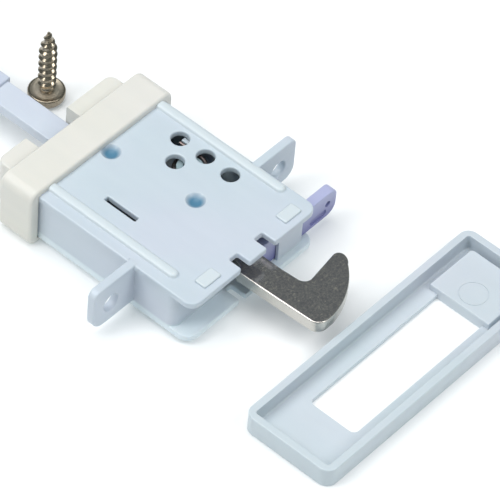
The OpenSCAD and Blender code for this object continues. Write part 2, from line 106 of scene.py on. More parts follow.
class Nodes:
    """Short calls that build one material's node tree."""

    def __init__(self, name):
        self.material = bpy.data.materials.new(name)
        self.material.use_nodes = True
        self.tree = self.material.node_tree
        self.shader = self.tree.nodes["Principled BSDF"]
        self.place = self.add("ShaderNodeTexCoord").outputs["Object"]

    def add(self, kind, **settings):
        node = self.tree.nodes.new(kind)
        for key, value in settings.items():
            setattr(node, key, value)
        return node

    def link(self, source, target):
        self.tree.links.new(source, target)

    def set(self, **values):
        for key, value in values.items():
            self.shader.inputs[key.replace("_", " ")].default_value = value

    def shifted(self, offset, stretch=(1, 1, 1)):
        node = self.add("ShaderNodeMapping")
        node.inputs["Location"].default_value = (offset, offset * 0.7, offset * 1.3)
        node.inputs["Scale"].default_value = stretch
        self.link(self.place, node.inputs["Vector"])
        return node.outputs["Vector"]

    def noise(self, size_mm, detail=3.0, roughness=0.5, offset=0.0, stretch=(1, 1, 1)):
        node = self.add("ShaderNodeTexNoise")
        node.inputs["Scale"].default_value = 1 / (size_mm * MM)
        node.inputs["Detail"].default_value = detail
        node.inputs["Roughness"].default_value = roughness
        self.link(self.shifted(offset, stretch), node.inputs["Vector"])
        return node.outputs["Fac"]

    def ramp(self, value, stops):
        node = self.add("ShaderNodeValToRGB")
        while len(node.color_ramp.elements) < len(stops):
            node.color_ramp.elements.new(0.5)
        for element, (position, colour) in zip(node.color_ramp.elements, stops):
            element.position = position
            element.color = colour
        self.link(value, node.inputs["Fac"])
        return node.outputs["Color"]

    def mix(self, factor, a, b, blend="MIX"):
        node = self.add("ShaderNodeMix", data_type="RGBA", blend_type=blend)
        for socket, value in ((node.inputs[0], factor), (node.inputs[6], a), (node.inputs[7], b)):
            if isinstance(value, bpy.types.NodeSocket):
                self.link(value, socket)
            else:
                socket.default_value = value
        return node.outputs[2]

    def span(self, value, low, high, from_low=0.3, from_high=0.7):
        node = self.add("ShaderNodeMapRange")
        limits = {"From Min": from_low, "From Max": from_high, "To Min": low, "To Max": high}
        for key, number in limits.items():
            node.inputs[key].default_value = number
        self.link(value, node.inputs["Value"])
        return node.outputs["Result"]

    def bump(self, height, strength, depth_mm, below=None):
        node = self.add("ShaderNodeBump")
        node.inputs["Strength"].default_value = strength
        node.inputs["Distance"].default_value = depth_mm * MM
        self.link(height, node.inputs["Height"])
        if below is not None:
            self.link(below, node.inputs["Normal"])
        return node.outputs["Normal"]

    def finish(self, colour, roughness, normal):
        for key, value in (("Base Color", colour), ("Roughness", roughness), ("Normal", normal)):
            self.link(value, self.shader.inputs[key])
        return self.material


def moulded(name, base, tint, gloss=(0.28, 0.4), glow=0.12, seed=0, foot=None, crest=None):
    """Injection-moulded plastic: a slow drift of tint, faint flow streaks and a fine spark-eroded skin.
    A foot is another colour painted low down and a crest another one painted high up, used as painted light
    and painted shade, each given as the colour and the two heights in millimetres between which it gives
    way to, or takes over from, the rest."""
    drift_mm, streak_mm, skin_mm = 30, 3.5, 0.16    # sizes of the three noises
    n = Nodes(name)
    drift = n.noise(drift_mm, detail=1.0, offset=seed * SEED_STEP)
    streaks = n.noise(streak_mm, detail=4.0, offset=seed * SEED_STEP + 3, stretch=(0.25, 1, 1))
    skin = n.noise(skin_mm, detail=2.0, offset=seed * SEED_STEP + 5)
    colour = n.mix(n.span(drift, 0.0, 1.0, 0.35, 0.68), base, tint)
    streak_tone = n.ramp(streaks, [(0.3, (0.965, 0.97, 0.975, 1)), (0.7, (1, 1, 1, 1))])
    colour = n.mix(1.0, colour, streak_tone, blend="MULTIPLY")
    normal = n.bump(skin, 0.12, 0.02)
    normal = n.bump(drift, 0.15, 0.12, normal)
    split = n.add("ShaderNodeSeparateXYZ")
    n.link(n.place, split.inputs["Vector"])
    height = split.outputs["Z"]
    # foot and crest: painted light and painted shade laid on by height
    if foot is not None:
        tone, low, high = foot
        colour = n.mix(n.span(height, 0.0, 1.0, low * MM, high * MM), tone, colour)
    if crest is not None:
        tone, low, high = crest
        colour = n.mix(n.span(height, 0.0, 1.0, low * MM, high * MM), colour, tone)
    n.set(Subsurface_Weight=glow, Subsurface_Scale=1.2 * MM, Specular_IOR_Level=0.5, IOR=1.49)
    n.shader.inputs["Subsurface Radius"].default_value = (0.8, 1.0, 1.2)
    return n.finish(colour, n.span(skin, *gloss), normal)


def metal(name, dark, light, gloss, grain_mm=0.35, stretch=(1, 1, 1), seed=0):
    """Plated or bare metal with a grain that shifts its tone, its gloss and its relief."""
    cloud_mm, relief, relief_mm = 6, 0.1, 0.03
    n = Nodes(name)
    grain = n.noise(grain_mm, detail=5.0, roughness=0.65, offset=seed * SEED_STEP, stretch=stretch)
    cloud = n.noise(cloud_mm, detail=2.0, offset=seed * SEED_STEP + 2)
    colour = n.mix(n.span(grain, 0.0, 1.0), dark, light)
    cloud_tone = n.ramp(cloud, [(0.3, (0.9, 0.9, 0.92, 1)), (0.7, (1, 1, 1, 1))])
    colour = n.mix(1.0, colour, cloud_tone, blend="MULTIPLY")
    n.set(Metallic=1.0)
    return n.finish(colour, n.span(grain, *gloss), n.bump(grain, relief, relief_mm))


def tumbled_steel(name):
    """Stamped plate face: dark and half matt, with cloudy wear, fine pits and bright flecks."""
    grain_mm, fleck_mm, wear_mm = 0.5, 0.55, 2.4
    n = Nodes(name)
    grain = n.noise(grain_mm, detail=6.0, roughness=0.7)
    flecks = n.noise(fleck_mm, detail=4.0, roughness=0.7, offset=SEED_STEP, stretch=(1, 0.45, 1))
    wear = n.noise(wear_mm, detail=6.0, roughness=0.65, offset=2 * SEED_STEP)
    colour = n.ramp(grain, [
        (0.3, srgb(164, 160, 162)), (0.52, srgb(190, 186, 183)), (0.7, srgb(216, 208, 197)),
    ])
    fleck_mask = n.span(flecks, 0.0, 1.0, 0.56, 0.72)
    colour = n.mix(fleck_mask, colour, srgb(242, 232, 216))
    wear_tone = n.ramp(wear, [(0.3, (0.74, 0.73, 0.76, 1)), (0.72, (1, 0.98, 0.95, 1))])
    colour = n.mix(1.0, colour, wear_tone, blend="MULTIPLY")
    n.set(Metallic=1.0)
    return n.finish(colour, n.span(grain, 0.14, 0.24), n.bump(grain, 0.12, 0.02))


ICE_BLUE = srgb(194, 208, 215), srgb(199, 207, 218)
# Painted light: the housing's floor and shelf, which lie in shade under the cover, are painted paler at and
# just above the floor's top.
FLOOR_PAINTED_LIGHT = srgb(218, 230, 236), FLOOR + 0.04, FLOOR + 0.6
# Painted highlight: the cover's ridges and pads are painted paler where they rise above the cover's top.
CREST_PAINTED_HIGHLIGHT = srgb(205, 215, 220), TOP + 0.02, TOP + 0.3
# Painted shade: the dimples are painted deep blue towards their bottom.
DIMPLE_PAINTED_SHADE = srgb(78, 126, 154), TOP - 0.8, TOP - 0.05
# Painted shade: the lever is painted deeper lilac towards its bottom.
LEVER_PAINTED_SHADE = srgb(112, 113, 168), LEVER_LOW + 0.35, LEVER_HIGH - 0.35

# Plastics: name, colour, tint it drifts to, and what differs from the usual.
PLASTICS = {
    "housing_plastic": ("ice_blue_plastic_painted_light", *ICE_BLUE, dict(seed=1, foot=FLOOR_PAINTED_LIGHT, crest=CREST_PAINTED_HIGHLIGHT)),
    "dimple": ("ice_blue_dimple_painted_shade", *ICE_BLUE, dict(seed=1, foot=DIMPLE_PAINTED_SHADE)),
    "trim_plastic": ("trim_blue_plastic", srgb(198, 209, 215), srgb(203, 209, 218), dict(seed=2)),
    "collar_plastic": (
        "ivory_plastic", srgb(220, 219, 210), srgb(222, 220, 214), dict(seed=3, gloss=(0.34, 0.46))
    ),
    "bar_plastic": ("lavender_plastic", srgb(202, 209, 222), srgb(202, 212, 221), dict(seed=4)),
    "grip_plastic": ("grip_lavender_plastic", srgb(194, 205, 219), srgb(197, 204, 220), dict(seed=5)),
    "lever_plastic": (
        "lilac_plastic_painted_shade", srgb(177, 180, 212), srgb(173, 179, 213), dict(seed=6, foot=LEVER_PAINTED_SHADE)
    ),
    "guide_plastic": (
        "teal_grey_acetal", srgb(150, 172, 178), srgb(156, 174, 180), dict(seed=7, gloss=(0.4, 0.5))
    ),
    "stop_rubber": (
        "black_rubber", srgb(44, 44, 46), srgb(54, 54, 56), dict(seed=8, gloss=(0.6, 0.75), glow=0.0)
    ),
}
# Metals: name, dark and light tone of the grain, roughness range, and what differs from the usual.
METALS = {
    "pin_steel": ("bright_pin_steel", srgb(176, 178, 180), srgb(206, 207, 206), (0.2, 0.34), dict(seed=1)),
    "spring_steel": ("dark_spring_steel", srgb(92, 84, 84), srgb(150, 134, 128), (0.22, 0.4), dict(seed=2)),
    "link_steel": (
        "zinc_plate", srgb(150, 156, 160), srgb(190, 194, 194), (0.3, 0.48),
        dict(seed=3, grain_mm=0.6),
    ),
    "bush_brass": ("brass", srgb(176, 140, 84), srgb(204, 170, 108), (0.25, 0.4), dict(seed=4)),
    "screw_steel": (
        "nickel_bronze", srgb(138, 127, 111), srgb(170, 160, 142), (0.14, 0.24),
        dict(seed=5, grain_mm=0.5),
    ),
    # The bearing face: a matter finish, with a lighter colour that is painted highlight.
    "screw_face": (
        "matt_nickel_bronze_painted_highlight", srgb(186, 176, 158), srgb(208, 198, 180), (0.4, 0.5),
        dict(seed=9, grain_mm=0.5),
    ),
    "hook_edge": (
        "polished_edge_steel", srgb(190, 188, 181), srgb(216, 213, 205), (0.16, 0.28),
        dict(seed=6, grain_mm=0.5, stretch=(1, 1, 6)),
    ),
}
MATERIALS = {slot: moulded(*look, **more) for slot, (*look, more) in PLASTICS.items()}
MATERIALS.update({slot: metal(*look, **more) for slot, (*look, more) in METALS.items()})
MATERIALS["hook_steel"] = tumbled_steel("tumbled_steel")


# ---------------------------------------------------------------- outlines, in millimetres

ARC_STEP = math.radians(11)


def arc(centre, radius, start, end, steps=10):
    """Points on an arc, anticlockwise when end is above start (degrees)."""
    angles = [math.radians(start + (end - start) * i / steps) for i in range(steps + 1)]
    return [(centre[0] + radius * math.cos(a), centre[1] + radius * math.sin(a)) for a in angles]


def circle(centre, radius, sides=48):
    return arc(centre, radius, 0, 360, sides)[:-1]


def outline(*corners):
    """Closed outline through corners (x, y) or (x, y, radius), each with its radius worked in."""
    points = []
    count = len(corners)
    for i, corner in enumerate(corners):
        here = Vector(corner[:2])
        radius = corner[2] if len(corner) > 2 else 0
        if not radius:
            points.append(tuple(here))
            continue
        back = (Vector(corners[i - 1][:2]) - here).normalized()
        ahead = (Vector(corners[(i + 1) % count][:2]) - here).normalized()
        half = back.angle(ahead) / 2
        centre = here + (back + ahead).normalized() * radius / math.sin(half)
        reach = radius / math.tan(half)
        a, b = here + back * reach - centre, here + ahead * reach - centre
        turn = math.atan2(a.x * b.y - a.y * b.x, a.dot(b))
        steps = max(3, round(abs(turn) / ARC_STEP))
        start = math.atan2(a.y, a.x)
        points += arc(centre, radius, math.degrees(start), math.degrees(start + turn), steps)
    return points


def rectangle(low, high, radius=0.0):
    x0, y0, x1, y1 = *low[:2], *high[:2]
    return outline((x0, y0, radius), (x1, y0, radius), (x1, y1, radius), (x0, y1, radius))


def inset(points, depth):
    """The outline moved into the material by depth, or out of it when depth is negative."""
    moved = []
    count = len(points)
    for i in range(count):
        before, here, after = (Vector(points[k % count]) for k in (i - 1, i, i + 1))
        one, two = (here - before).normalized(), (after - here).normalized()
        left_one, left_two = Vector((-one.y, one.x)), Vector((-two.y, two.x))
        moved.append(here + (left_one + left_two) * depth / (1 + left_one.dot(left_two)))
    return moved


# ---------------------------------------------------------------- solids

PLACING = {                                     # turns (across, across, along) into (x, y, z)
    "x": lambda u, v, w: (w, u, v),
    "y": lambda u, v, w: (v, w, u),
    "z": lambda u, v, w: (u, v, w),
}
ROUND_STEPS = 4


def edge_rows(w0, w1, low, high):
    """(inset, level) rows from one face to the other: round edges, or a flare where high is negative."""
    turns = [math.pi / 2 * k / ROUND_STEPS for k in range(ROUND_STEPS + 1)]
    rows = [(0, w0)]
    if low:
        rows = [(low * (1 - math.sin(a)), w0 + low * (1 - math.cos(a))) for a in turns]
    if high > 0:
        rows += [(high * (1 - math.sin(a)), w1 - high * (1 - math.cos(a))) for a in reversed(turns)]
    elif high < 0:
        rows += [(high * (1 - math.cos(a)), w1 + high * (1 - math.sin(a))) for a in turns]
        rows += [(high, w1 + OVER)]
    else:
        rows += [(0, w1)]
    return rows


def scratch(bm):
    """Loose object with that mesh, to be combined with others."""
    bmesh.ops.recalc_face_normals(bm, faces=bm.faces)
    mesh = bpy.data.meshes.new("scratch")
    bm.to_mesh(mesh)
    bm.free()
    made = bpy.data.objects.new("scratch", mesh)
    bpy.context.scene.collection.objects.link(made)
    return made


def slab(loops, w0, w1, low=0.0, high=0.0, along="z"):
    """Plate between two levels. The first loop is its outline, and the others are holes."""
    place = PLACING[along]
    rows = edge_rows(w0, w1, low, high)
    loops = [loops[0]] + [loop[::-1] for loop in loops[1:]]
    bm = bmesh.new()
    ends = {0: [], len(rows) - 1: []}
    for loop in loops:
        rings = []
        for k, (depth, level) in enumerate(rows):
            row = [bm.verts.new(Vector(place(p[0], p[1], level)) * MM) for p in inset(loop, depth)]
            rings.append(row)
            if k in ends:
                ends[k].append(row)
        for lower, upper in zip(rings, rings[1:]):
            for i in range(len(loop)):
                j = (i + 1) % len(loop)
                bm.faces.new((lower[i], lower[j], upper[j], upper[i]))
    for rings in ends.values():
        flat = [v for row in rings for v in row]
        for a, b, c in tessellate_polygon([[v.co for v in row] for row in rings]):
            bm.faces.new((flat[a], flat[b], flat[c]))
    return scratch(bm)


def block(low, high):
    return slab([rectangle(low[:2], high[:2])], low[2], high[2])


def post(centre, radius, z0, z1, edge=0.0):
    return slab([circle(centre, radius)], z0, z1, edge, edge)


def ring(centre, outer, inner, z0, z1, edge=0.08):
    return slab([circle(centre, outer), circle(centre, inner)], z0, z1, edge, edge)


def tube_of_rings(rings):
    """Closed skin over rings of points that each have the same count."""
    bm = bmesh.new()
    made = [[bm.verts.new(Vector(p) * MM) for p in points] for points in rings]
    for lower, upper in zip(made, made[1:]):
        for i in range(len(lower)):
            j = (i + 1) % len(lower)
            bm.faces.new((lower[i], lower[j], upper[j], upper[i]))
    bm.faces.new(made[0][::-1])
    bm.faces.new(made[-1])
    return scratch(bm)


def lathe(centre, profile, sides=64):
    """Solid of revolution about an upright axis, from (radius, z) points."""
    least = 0.01                                # a ring this small closes the solid at its axis
    rings = []
    for radius, z in profile:
        rings.append([(x, y, z) for x, y in circle(centre, max(radius, least), sides)])
    return tube_of_rings(rings)


def ridge(x0, x1, y, profile):
    """Long low ridge with round ends, from (distance from its crest, z) points."""
    end_steps = 16
    rings = []
    for away, z in profile:
        loop = arc((x1, y), away, -90, 90, end_steps) + arc((x0, y), away, 90, 270, end_steps)
        rings.append([(px, py, z) for px, py in loop])
    return tube_of_rings(rings)


def combine(base, others, operation):
    """Base joined with, or cut by, the others, which are used up."""
    for other in others:
        step = base.modifiers.new("step", "BOOLEAN")
        step.operation = operation
        step.solver = "EXACT"
        step.object = other
    bpy.context.view_layer.update()
    mesh = bpy.data.meshes.new_from_object(base.evaluated_get(bpy.context.evaluated_depsgraph_get()))
    base.modifiers.clear()
    base.data = mesh
    for other in others:
        bpy.data.objects.remove(other)
    return base


def join(base, *others):
    return combine(base, others, "UNION")


def cut(base, *others):
    return combine(base, others, "DIFFERENCE")


MERGE_MM, SLIVER_MM = 0.002, 0.001              # points and slivers this small are cleaned away


def piece(name, made, slot, body, *nodes, sharp=38):
    """Finishes a solid: its name, material, shading and CAD body, and the CAD nodes it stands for."""
    made.name = made.data.name = name
    mesh = made.data
    bm = bmesh.new()
    bm.from_mesh(mesh)
    bmesh.ops.remove_doubles(bm, verts=bm.verts, dist=MERGE_MM * MM)
    bmesh.ops.dissolve_degenerate(bm, edges=bm.edges, dist=SLIVER_MM * MM)
    bm.to_mesh(mesh)
    bm.free()
    mesh.materials.clear()
    mesh.materials.append(MATERIALS[slot])
    mesh.polygons.foreach_set("use_smooth", [True] * len(mesh.polygons))
    mesh.set_sharp_from_angle(angle=math.radians(sharp))
    normals = made.modifiers.new("normals", "WEIGHTED_NORMAL")
    normals.keep_sharp = True
    normals.weight = 90
    if body:
        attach(made, body)
    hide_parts(*nodes)
    return made


def second_material(made, key, belongs):
    """Gives the faces that belong to it a second material."""
    made.data.materials.append(MATERIALS[key])
    for face in made.data.polygons:
        face.material_index = 1 if belongs(face) else 0


# ---------------------------------------------------------------- housing

def slit_corners(front, inner, y0, y1, mouth_r):
    """Corners of a slit, met while going along the front edge towards +Y."""
    end_r = 0.5
    return [(front, y0, mouth_r), (inner, y0, end_r), (inner, y1, end_r), (front, y1, mouth_r)]


def ear(side):
    """Ear across the wall: its front face is at x = 0, and its root is plain where the cover meets it."""
    root, reach = WALL_Y - WALL / 2, corners_of("base_shell")[1].y
    low, low_r, high_r, edge = BASE + 1.6, 3, 1.8, 0.35
    hole_y, hole_r = 25.5, 2.1
    shape = outline((root, low), (reach, low, low_r), (reach, TOP, high_r), (root, TOP))
    hole = circle((hole_y, 0), hole_r)
    if side < 0:
        shape, hole = [(-y, z) for y, z in shape[::-1]], [(-y, z) for y, z in hole[::-1]]
    near, far = sorted((side * (root - 0.1), side * (COVER_Y - 2 * SKIN)))
    return join(
        slab([shape, hole], -EAR_T, 0, edge, edge, along="x"),
        block((-EAR_T + SKIN, near, low + 0.5), (-SKIN, far, TOP - SKIN)),
    )


def housing_base():
    front = corners_of("base_shell")[1].x
    shelf_y, shelf_rear = 20.2, 4               # the floor runs on past the wall as a shelf for the lever
    slit_end, slit_mouth_r = 11.2, 0.4
    floor = outline(
        (REAR, -WALL_Y, REAR_R), (front, -WALL_Y, 3),
        *slit_corners(front, slit_end, -3.2, -1.4, slit_mouth_r),
        *slit_corners(front, slit_end, 3.6, 5.1, slit_mouth_r),
        (front, shelf_y, 2.4), (shelf_rear, shelf_y, 1), (shelf_rear, WALL_Y), (REAR, WALL_Y, REAR_R),
    )
    # The wall stands a little inside the floor's edge, so that the two rounded edges don't touch.
    left_front, right_front, wall_step = 10.9, 13.7, 3
    rear, side = REAR + 0.04, WALL_Y - 0.04
    front_r = 2
    wall = outline(
        (rear, -side, REAR_R), (left_front, -side, front_r), (left_front, wall_step),
        (right_front, wall_step), (right_front, side, front_r), (rear, side, REAR_R),
    )
    inner, inner_r, hollow_step = WALL_Y - WALL, 0.6, 4.5
    lip = right_front - 0.7                     # inner face of the thin wall in front of the lever
    hollow = outline(
        (REAR + WALL, -inner, inner_r), (left_front - WALL, -inner, inner_r),
        (left_front - WALL, hollow_step), (lip, hollow_step), (lip, inner, inner_r),
        (REAR + WALL, inner, inner_r),
    )
    boss_r, boss_top, peg_top, rib_top = 2.6, -1.9, 3.4, -0.9
    body = join(
        slab([floor], BASE, FLOOR, 0.3, 0.3),
        slab([wall, hollow], FLOOR - 0.8, CEILING),
        ear(-1),
        ear(1),
        post(PIVOT, boss_r, FLOOR - 0.3, boss_top, 0.15),
        post(COIL, PEG_R, FLOOR - 0.3, peg_top, 0.2),
        # ribs for the return coil's fixed leg, the lever's coil and the lever's lug
        block((-17.5, 14.5, FLOOR - 0.4), (-15, 15.5, CEILING - 0.3)),
        block((7.4, 7.3, FLOOR - 0.45), (10.35, 8.2, rib_top)),
        block((9.2, 15.65, FLOOR - 0.5), (10.35, inner + 0.1, rib_top)),
    )
    bar_gap = BAR_HALF + 0.3
    cut(
        body,
        # the hook's mouth, the bar's way out, the lever's way out and the pivot pin's hole
        block((0, -3.6, FLOOR + SKIN), (16, 10.1, CEILING + OVER)),
        block((REAR - OVER, BAR_Y - bar_gap, BAR_BOTTOM - OVER), (-20, BAR_Y + bar_gap, CEILING + OVER)),
        block((10.3, inner - OVER, LEVER_LOW - 0.1), (lip, WALL_Y + OVER, LEVER_HIGH + 0.3)),
        post(PIVOT, PIN_R, FLOOR - 0.8, 0),
    )
    piece("housing_base", body, "housing_plastic", "housing", "base_shell")


def dimple(centre):
    """Cutter for a shallow round dimple with a softened rim."""
    soft, rim, steps = 0.18, 0.06, 10
    ball = (DIMPLE_R ** 2 + DIMPLE_DEPTH ** 2) / (2 * DIMPLE_DEPTH)
    widest = math.asin((DIMPLE_R - soft) / ball)
    turns = [widest * k / steps for k in range(steps + 1)]
    bottom = TOP - DIMPLE_DEPTH
    bowl = [(ball * math.sin(a), bottom + ball * (1 - math.cos(a))) for a in turns]
    lip = [(DIMPLE_R - rim, TOP - 0.07), (DIMPLE_R + rim, TOP + SKIN), (DIMPLE_R + rim, TOP + OVER)]
    return lathe(centre, bowl + lip)


def housing_cover():
    front = corners_of("cover_plate")[1].x
    front_r = 2.4
    plate = outline(
        (REAR, -COVER_Y, REAR_R), (front, -COVER_Y, front_r),
        *slit_corners(front, 12.4, -4.3, -1.8, 0.55),
        *slit_corners(front, 12.3, 3.4, 5.9, 0.45),
        (front, COVER_Y, front_r), (REAR, COVER_Y, REAR_R),
    )
    hole_r, hole_sides = 2, 40
    hole_centres = ((-17, 13.4), (-9.9, 13.4), (-2.9, 13.2), (-13.4, 7.9))
    holes = [circle(centre, hole_r, hole_sides) for centre in hole_centres]
    holes.append(rectangle((-16.6, -10.1), (-8.1, -8.9), 0.2))
    ridge_rear, ridge_front, ridge_ys = -26.2, 7, (-15.3, 17.4)
    ridge_shape = [                             # half of its bell-shaped section: (half width, z)
        (1.38, TOP - 0.3), (1.38, TOP + 0.02), (1.25, TOP + 0.07), (1.16, TOP + 0.2),
        (1.08, TOP + 0.42), (0.92, TOP + 0.62), (0.66, TOP + 0.75), (0.34, TOP + 0.8),
        (0.03, TOP + 0.8),
    ]
    pad_rear, pad_front, pad_width, pad_r, pad_rise = 11.4, 14.3, 5, 0.4, 0.5
    pads = [rectangle((pad_rear, y), (pad_front, y + pad_width), pad_r) for y in (-13.7, 10.9)]
    body = join(
        slab([plate, *holes], CEILING, TOP, 0.2, 0.35),
        *[ridge(ridge_rear, ridge_front, y, ridge_shape) for y in ridge_ys],
        *[slab([pad], TOP - 0.6, TOP + pad_rise, 0, 0.3) for pad in pads],
        post(PIVOT, 2.7, CEILING - 1.4, CEILING + 0.3),
    )
    notch = WALL_Y - WALL / 2 - 0.05
    notch_rear, notch_front = -EAR_T - 2 * SKIN, 2 * SKIN
    cut(
        body,
        *[dimple(centre) for centre in DIMPLES],
        post(PIVOT, PIN_R + SKIN, CEILING - 2.4, CEILING - 0.1),
        block((notch_rear, notch, CEILING - OVER), (notch_front, COVER_Y + OVER, TOP + OVER)),
        block((notch_rear, -COVER_Y - OVER, CEILING - OVER), (notch_front, -notch, TOP + OVER)),
    )
    cover = piece("housing_cover", body, "housing_plastic", "housing", "cover_plate")

    def in_dimple(place):
        away = min(math.dist(place[:2], centre) for centre in DIMPLES)
        return away < DIMPLE_R + 2 * SKIN and TOP - DIMPLE_DEPTH - 0.1 < place.z < TOP - SKIN

    # The dimples' faces take the material with painted shade towards their bottom.
    second_material(cover, "dimple", lambda face: in_dimple(face.center / MM))


def rear_cap():
    low, high = corners_of("rear_collar")
    band_rear, lug_rear = REAR - 1.7, low.x
    lug_top, lug_low_y, lug_high_y, lug_r = TOP - 0.7, -17.2, 17.3, 2
    fit = 0.03
    section = rectangle((low.y, low.z), (high.y, high.z), 2.6)
    lugs = outline(
        (lug_rear, lug_low_y, lug_r), (band_rear + 1, lug_low_y),
        (band_rear + 1, lug_high_y), (lug_rear, lug_high_y, lug_r),
    )
    # Hollow curve that runs up from the lugs to the band, as an outline of (z, x).
    rise_r, rise_steps, rise_high = 1.6, 10, high.z - 1.4
    turns = [math.pi / 2 * k / rise_steps for k in range(rise_steps + 1)]
    rise = [(lug_top - 1, band_rear + 1), (rise_high, band_rear + 1)]
    rise += [(rise_high - rise_r * math.sin(a), band_rear - rise_r * (1 - math.cos(a))) for a in turns]
    rise += [(lug_top - 1, band_rear - rise_r)]
    body = join(
        slab([section], band_rear, high.x, 0.6, 0.7, along="x"),
        slab([lugs], BASE + 0.5, lug_top, 0.4, 0.4),
        slab([rise], lug_low_y + 0.1, lug_high_y - 0.1, along="y"),
    )
    gap_low, gap_high, bar_z = -8.6, 3.8, 3
    cut(
        body,
        block((REAR - fit, -COVER_Y - fit, BASE - fit), (high.x + OVER, COVER_Y + fit, TOP + fit)),
        block((lug_rear - OVER, gap_low, BASE - 2), (band_rear, gap_high, high.z + OVER)),
        block((band_rear - OVER, gap_low, -bar_z), (REAR + OVER, gap_high, bar_z)),
    )
    piece("rear_cap", body, "collar_plastic", "housing", "rear_collar")


def bar_guide_block():
    low, high = corners_of("bar_guide")
    play = 0.05
    half = BAR_HALF + play
    body = slab([rectangle((low.x, low.y), (high.x, high.y), 0.3)], low.z, high.z, 0.15, 0.2)
    way_low = (low.x - OVER, BAR_Y - half, BAR_BOTTOM - play)
    way_high = (high.x + OVER, BAR_Y + half, BAR_TOP + play)
    cut(body, block(way_low, way_high))
    piece("bar_guide_block", body, "guide_plastic", "housing", "bar_guide")


def stop_block():
    low, high = corners_of("stop_pad")
    edge = 0.15
    body = slab([rectangle((low.x, low.y), (high.x, high.y), edge)], low.z, high.z, edge, edge)
    piece("stop_block", body, "stop_rubber", "housing", "stop_pad")


# ---------------------------------------------------------------- pins, clips and bobbin

def small_hardware():
    low, high = corners_of("pivot_pin")
    piece("pivot_axle", post(PIVOT, PIN_R, low.z, high.z, 0.3), "pin_steel", "housing", "pivot_pin")

    low, high = corners_of("pivot_clip")
    clip_r, half_gap = 2.7, 0.8
    clip = ring(PIVOT, clip_r, PIN_R, low.z, high.z)
    gap = block(
        (PIVOT[0], PIVOT[1] - half_gap, low.z - OVER), (PIVOT[0] + 4, PIVOT[1] + half_gap, high.z + OVER)
    )
    piece("pivot_retainer", cut(clip, gap), "pin_steel", "housing", "pivot_clip")

    low, high = corners_of("pivot_washers")
    washer_r, thick = 3, 0.35
    pair = join(
        ring(PIVOT, washer_r, PIN_R + SKIN, low.z, low.z + thick),
        ring(PIVOT, washer_r, PIN_R + SKIN, high.z - thick, high.z),
    )
    piece("thrust_washers", pair, "pin_steel", "housing", "pivot_washers")

    low, high = corners_of("spring_bobbin")
    flange_z, flange_r, drum_r, foot_r = -1.2, 4.1, 2.9, 2.4
    bore = circle(COIL, PEG_R + 2 * SKIN)
    bobbin = join(
        slab([circle(COIL, flange_r), bore], flange_z, flange_z + 0.6, 0.15, 0.15),
        slab([circle(COIL, drum_r), bore], flange_z + 0.3, high.z, 0, 0.25),
        slab([circle(COIL, foot_r), bore], low.z, flange_z + 0.3, 0.15, 0),
    )
    piece("coil_bobbin", bobbin, "guide_plastic", "housing", "spring_bobbin")


# ---------------------------------------------------------------- hook

def arm(start, end, width, z0, z1, edge):
    """Straight arm with round ends between two places."""
    heading = math.degrees(math.atan2(end[1] - start[1], end[0] - start[0]))
    shape = arc(end, width / 2, heading - 90, heading + 90, 18)
    shape += arc(start, width / 2, heading + 90, heading + 270, 18)
    return slab([shape], z0, z1, edge, edge)


def latch_hook():
    """Stamped plate: shank, belly, outer back, rounded point and the throat that takes the keeper."""
    low, high = corners_of("hook_plate")
    shape = [(PIVOT[0], 4.5), (PIVOT[0], -0.7), (12.5, -0.7), (13.3, -2.5), (24.5, -2.2)]
    shape += arc((32.4, 0.62), 2.5, -82, 5, 18)
    shape += arc((14.9, -0.25), 20.2, 8, 48.5, 36)
    shape += arc((25.5, 13.6), 2.93, 28, 88, 14)
    shape += arc((25.62, 15), 1.53, 98, 189, 18)
    shape += arc((23.35, 6.7), 1.92, 8, -90, 20)
    shape += [(19.5, 4.5)]
    edge, eye_r, crank_width = 0.3, 4.6, 4.8
    body = join(
        slab([shape], low.z, high.z, edge, edge),
        slab([circle(PIVOT, eye_r, 64)], low.z, high.z, edge, edge),
        arm(PIVOT, CRANK, crank_width, low.z, high.z, edge),
    )
    cut(
        body,
        post(PIVOT, BUSH_R, low.z - OVER, high.z + OVER),
        post(CRANK, CRANK_PIN_R, low.z - OVER, high.z + OVER),
    )
    hook = piece("latch_hook", body, "hook_steel", "hook", "hook_plate")
    level = 0.96                                # least upward lean of a normal that counts as flat
    second_material(hook, "hook_edge", lambda face: abs(face.normal.z) <= level)

    bush = ring(PIVOT, BUSH_R, PIN_R + 0.05, low.z, high.z, 0.05)
    piece("hook_bushing", bush, "bush_brass", "hook", "hook_bush")
    low, high = corners_of("crank_pin")
    stud = post(CRANK, CRANK_PIN_R, low.z, high.z, 0.2)
    piece("crank_stud", stud, "pin_steel", "hook", "crank_pin")
    low, high = corners_of("crank_clip")
    clip = ring(CRANK, 2.2, CRANK_PIN_R, low.z, high.z)
    piece("crank_retainer", clip, "pin_steel", "hook", "crank_clip")


# ---------------------------------------------------------------- pull bar

